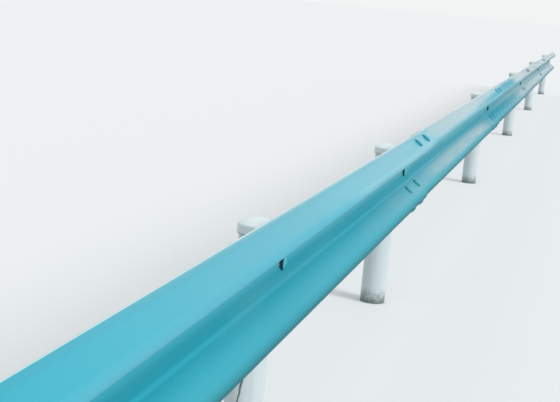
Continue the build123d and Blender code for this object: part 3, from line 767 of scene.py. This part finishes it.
def hexagon_nut(name, seat):
    """Six sided nut whose corners a turned shape cuts back, its upper face at height seat."""
    half = NUT_HEIGHT / 2
    middle = seat - half
    corner = NUT_WIDTH / math.sqrt(3)
    bpy.ops.mesh.primitive_cylinder_add(vertices=6, radius=corner * MM, depth=NUT_HEIGHT * MM,
                                        location=(0, 0, middle * MM))
    nut = bpy.context.object
    nut.name = name
    bpy.ops.object.transform_apply(location=True, rotation=True, scale=True)
    outline = [
        (0.0, middle + half),
        (corner - 2 * NUT_CHAMFER, middle + half),
        (corner, middle + half - NUT_CHAMFER),
        (corner, middle - half + NUT_CHAMFER),
        (corner - 2 * NUT_CHAMFER, middle - half),
        (0.0, middle - half),
    ]
    cutter = turned(name + "_cutter", outline)
    meet = nut.modifiers.new("corners", "BOOLEAN")
    meet.operation = "INTERSECT"
    meet.object = cutter
    meet.solver = "EXACT"
    select_only(nut)
    bpy.ops.object.modifier_apply(modifier=meet.name)
    bpy.data.objects.remove(cutter)
    return nut


def joined(name, items):
    """Join objects into the first and name the result."""
    select_only(items[0])
    for item in items[1:]:
        item.select_set(True)
    bpy.ops.object.join()
    items[0].name = name
    items[0].data.name = name
    return items[0]


def coat_head(body):
    """Give the head's faces the second finish, and map how far each corner is from the axis."""
    reach = body.data.uv_layers.new(name="head_reach")
    for face in body.data.polygons:
        if face.center.z > 0:
            face.material_index = 1
        for corner in face.loop_indices:
            at = body.data.vertices[body.data.loops[corner].vertex_index].co
            reach.data[corner].uv = (math.hypot(at.x, at.y) / (HEAD_RADIUS * MM), 0.0)


def whole_bolt(name, grip, bare, coated):
    """Bolt, washer and nut as one object: bare zinc, with the beam's coat on the head."""
    body = bolt_body(name + "_body", grip)
    ring = washer_ring(name + "_ring", -grip)
    nut = hexagon_nut(name + "_nut", -(grip + WASHER_THICKNESS))
    for item in (body, ring, nut):
        item.data.materials.append(bare)
    body.data.materials.append(coated)
    coat_head(body)
    bolt = joined(name, [body, ring, nut])
    select_only(bolt)
    bpy.ops.object.shade_smooth_by_angle(angle=SMOOTH_BELOW)
    return bolt


def placed_copy(source, matrix):
    """A copy with a mesh of its own, its place inside the mesh."""
    copy = source.copy()
    copy.data = source.data.copy()
    copy.data.transform(matrix)
    bpy.context.scene.collection.objects.link(copy)
    return copy


def post_shift(x):
    """Place along Y of a post and its bolt, as the solids have it."""
    panel = min(int(x // PANEL_PITCH), PANEL_COUNT - 1)
    return -LAP_OFFSET * (x / PANEL_PITCH - panel)


def post_bolts(bare, coated, draws):
    """The through bolts, with head in the valley and nut behind the post."""
    single_grip = (POST_RADIUS - VALLEY_BACK_Y + SHEET) / MM + VALLEY_SEAT + 2 * SEAT_GAP
    for number, x in enumerate(POST_X, 1):
        lap = LAP_OFFSET if number in LAPPED_POSTS else 0.0
        bolt = whole_bolt(f"through_bolt_{number}", single_grip + lap / MM, bare, coated)
        seat_y = VALLEY_BACK_Y - SHEET - lap - (VALLEY_SEAT + SEAT_GAP) * MM + post_shift(x)
        turn = Matrix.Rotation(draws.uniform(0, math.pi), 4, "Z")
        lean = Euler((math.pi / 2, 0, 0)).to_matrix().to_4x4()
        bolt.data.transform(Matrix.Translation((x, seat_y, BEAM_CENTRE_Z)) @ lean @ turn)
        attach(bolt, "root")
        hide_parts(f"post_bolt_{number}")


def splice_bolts(bare, coated, draws):
    """Eight bolts through the slopes at each lapped post."""
    sheets = (LAP_OFFSET * math.cos(SLOPE) + SHEET) / MM
    pattern = whole_bolt("splice_bolt_pattern", sheets + 2 * SEAT_GAP, bare, coated)
    for number in LAPPED_POSTS:
        post_x = POST_X[number - 1]
        copies = []
        for depth, height, facing in SPLICE_ROWS:
            lean = Euler((math.pi / 2 - facing * SLOPE, 0, 0)).to_matrix().to_4x4()
            outward = Vector((0, -math.cos(SLOPE), facing * math.sin(SLOPE)))
            for column in (-SPLICE_COLUMN, SPLICE_COLUMN):
                front_y = CREST_Y + depth * MM - (PANEL_PITCH + column) * math.tan(PANEL_SKEW)
                on_sheet = Vector((post_x + column, front_y, BEAM_CENTRE_Z + height * MM))
                seat = on_sheet + outward * (SHEET / 2 + SEAT_GAP * MM)
                turn = Matrix.Rotation(draws.uniform(0, math.pi), 4, "Z")
                copies.append(placed_copy(pattern, Matrix.Translation(seat) @ lean @ turn))
        group = joined(f"splice_bolts_{number}", copies)
        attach(group, "root")
    bpy.data.objects.remove(pattern)


def studio_floor(material):
    """Large plain floor, which is not part of the object."""
    bpy.ops.mesh.primitive_plane_add(size=FLOOR_SIZE, location=(0, 0, 0))
    floor = bpy.context.object
    floor.name = "floor"
    floor.data.materials.append(material)


def key_light():
    """Soft light from overhead and the road side."""
    sun = bpy.data.lights.new("key_light", "SUN")
    sun.energy = SUN_STRENGTH
    sun.angle = SUN_ANGLE
    lamp = bpy.data.objects.new("key_light", sun)
    lamp.rotation_euler = SUN_FROM.to_track_quat("Z", "Y").to_euler()
    bpy.context.scene.collection.objects.link(lamp)


def surround():
    """Wide light, a little stronger overhead and cooler behind the beam, and plain pale to the camera."""
    world = bpy.data.worlds.new("surround")
    world.use_nodes = True
    bpy.context.scene.world = world
    tree = world.node_tree
    tree.nodes.clear()
    direction = add_node(tree, "ShaderNodeTexCoord").outputs["Generated"]
    sides = add_node(tree, "ShaderNodeSeparateXYZ", links={0: direction}).outputs
    overhead = add_node(tree, "ShaderNodeMapRange", {"From Min": 0.0, "From Max": 0.8}, {"Value": sides[2]})
    light = add_node(tree, "ShaderNodeMix", {6: linear("D2D3D4"), 7: linear("DCDDDE")}, {0: overhead},
                     data_type="RGBA").outputs[2]
    behind = add_node(tree, "ShaderNodeMapRange", {"From Min": 0.0, "From Max": 0.8, "To Max": 0.45},
                      {"Value": sides[1]})
    light = add_node(tree, "ShaderNodeMix", {7: linear("638B99")}, {0: behind, 6: light},
                     data_type="RGBA").outputs[2]
    colour = add_node(tree, "ShaderNodeMix", {7: linear("F2F4F4")}, {0: seen_directly(tree), 6: light},
                      data_type="RGBA").outputs[2]
    background = add_node(tree, "ShaderNodeBackground", {"Strength": 1.0}, {"Color": colour})
    add_node(tree, "ShaderNodeOutputWorld", links={"Surface": background})


def photo_camera():
    """Camera at the place and angle from which the photograph was taken."""
    forward = Vector((math.cos(CAMERA_YAW) * math.cos(CAMERA_PITCH),
                      math.sin(CAMERA_YAW) * math.cos(CAMERA_PITCH),
                      math.sin(CAMERA_PITCH)))
    level_right = Vector((math.sin(CAMERA_YAW), -math.cos(CAMERA_YAW), 0))
    level_up = level_right.cross(forward)
    right = math.cos(CAMERA_ROLL) * level_right + math.sin(CAMERA_ROLL) * level_up
    up = -math.sin(CAMERA_ROLL) * level_right + math.cos(CAMERA_ROLL) * level_up
    data = bpy.data.cameras.new("photo_camera")
    data.sensor_width = SENSOR_MM
    data.sensor_fit = "HORIZONTAL"
    data.lens = FOCAL_PX / PICTURE_WIDTH_PX * SENSOR_MM
    data.clip_end = CAMERA_CLIP_END
    camera = bpy.data.objects.new("photo_camera", data)
    bpy.context.scene.collection.objects.link(camera)
    turn = Matrix((right, up, -forward)).transposed().to_4x4()
    camera.matrix_world = Matrix.Translation(CAMERA_AT) @ turn
    bpy.context.scene.camera = camera


for item in list(bpy.data.objects):
    bpy.data.objects.remove(item)

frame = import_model()

FINISHES = {
    "beam_panel": turquoise_powder_coat(),
    "post": white_post_coat(),
    "post_cap": white_cap_coat(),
    "post_bracket": turquoise_bracket_coat(),
    "post_bolt": weathered_zinc(),
}
BOLT_HEAD_COAT = coated_bolt_head()
for node_name, node_object in frame["nodes"].items():
    family = node_name.rsplit("_", 1)[0]
    node_object.data.materials.clear()
    node_object.data.materials.append(FINISHES[family])

draws = random.Random(RANDOM_SEED)
post_bolts(FINISHES["post_bolt"], BOLT_HEAD_COAT, draws)
splice_bolts(FINISHES["post_bolt"], BOLT_HEAD_COAT, draws)
studio_floor(pale_floor())
key_light()
surround()
photo_camera()
bpy.context.scene.view_settings.view_transform = "Standard"
